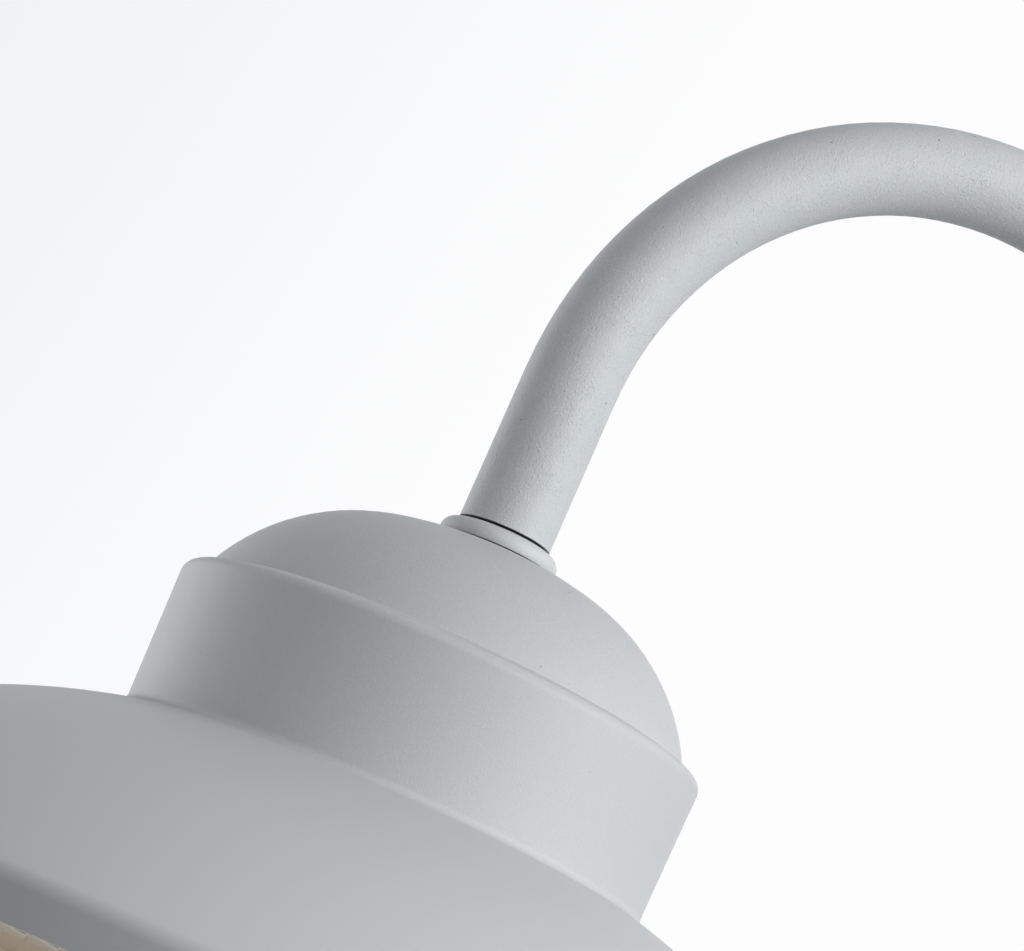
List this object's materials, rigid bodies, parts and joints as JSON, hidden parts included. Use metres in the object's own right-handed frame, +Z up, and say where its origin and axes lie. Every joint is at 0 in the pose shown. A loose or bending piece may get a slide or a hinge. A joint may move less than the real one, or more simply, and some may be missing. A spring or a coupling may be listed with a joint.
{
  "type": "outdoor wall light",
  "caption": "Swan-neck outdoor wall light: round wall canopy, curved tube, spun dome-and-drum head with a flared shade, and a screw lamp holder with an opal globe bulb.",
  "frame": {"origin": "on the wall plane, midway between the two wall-screw slots, at the canopy's centre", "axes": "+Y into the wall (the light stands out towards -Y), +Z up, +X along the wall to the right of somebody facing the wall"},
  "size_m": [0.2882, 0.4265, 0.2703],
  "materials": {
    "coat": "fine sand-texture powder coat, light cool grey",
    "zinc": "bright zinc plate",
    "stainless": "satin stainless steel",
    "rubber": "matt black rubber",
    "bakelite": "black moulded phenolic, soft gloss",
    "porcelain": "unglazed white steatite",
    "brass": "turned and drawn brass",
    "bronze": "spring bronze strip",
    "block_plastic": "white moulded polyamide",
    "live_sheath": "brown wire insulation",
    "neutral_sheath": "blue wire insulation",
    "earth_sheath": "green and yellow wire insulation",
    "bulb_metal": "drawn aluminium, bright",
    "solder": "tinned contact",
    "black_glass": "black pressed glass",
    "opal_glass": "opal glass, smooth"
  },
  "bodies": {
    "fixture": {"mounting_plate": "zinc", "plate_studs": "zinc", "cable_grommet": "rubber", "earth_screw": "brass", "earth_tag": "solder", "terminal_block": "block_plastic", "terminal_clamps": "brass", "terminal_screws": "zinc", "terminal_block_screws": "zinc", "wall_gasket": "rubber", "wall_canopy": "coat", "canopy_seal_rings": "rubber", "canopy_cap_nuts": "stainless", "wall_lock_nut": "zinc", "wall_lock_washer": "zinc", "wall_nipple": "zinc", "wall_joint_gasket": "rubber", "wall_collar": "coat", "wall_tube_seal": "rubber", "wall_end_plug": "zinc", "swan_neck_tube": "coat", "head_end_plug": "zinc", "head_tube_seal": "rubber", "head_collar": "coat", "head_joint_gasket": "rubber", "head_shell": "coat", "head_lock_washer": "zinc", "head_lock_nut": "zinc", "head_nipple": "zinc", "holder_cap": "bakelite", "holder_core": "porcelain", "holder_terminals": "brass", "holder_centre_contact": "bronze", "holder_screw_shell": "brass", "holder_sleeve": "bakelite", "live_wire": "live_sheath", "neutral_wire": "neutral_sheath", "earth_wire": "earth_sheath"},
    "bulb": {"bulb_contact": "solder", "bulb_insulator": "black_glass", "bulb_cap": "bulb_metal", "bulb_glass": "opal_glass"}
  },
  "joints": [
    {"name": "bulb_withdraw", "type": "slide", "parent": "fixture", "child": "bulb", "axis": [0, 0, -1], "range_m": [0, 0.09]}
  ]
}
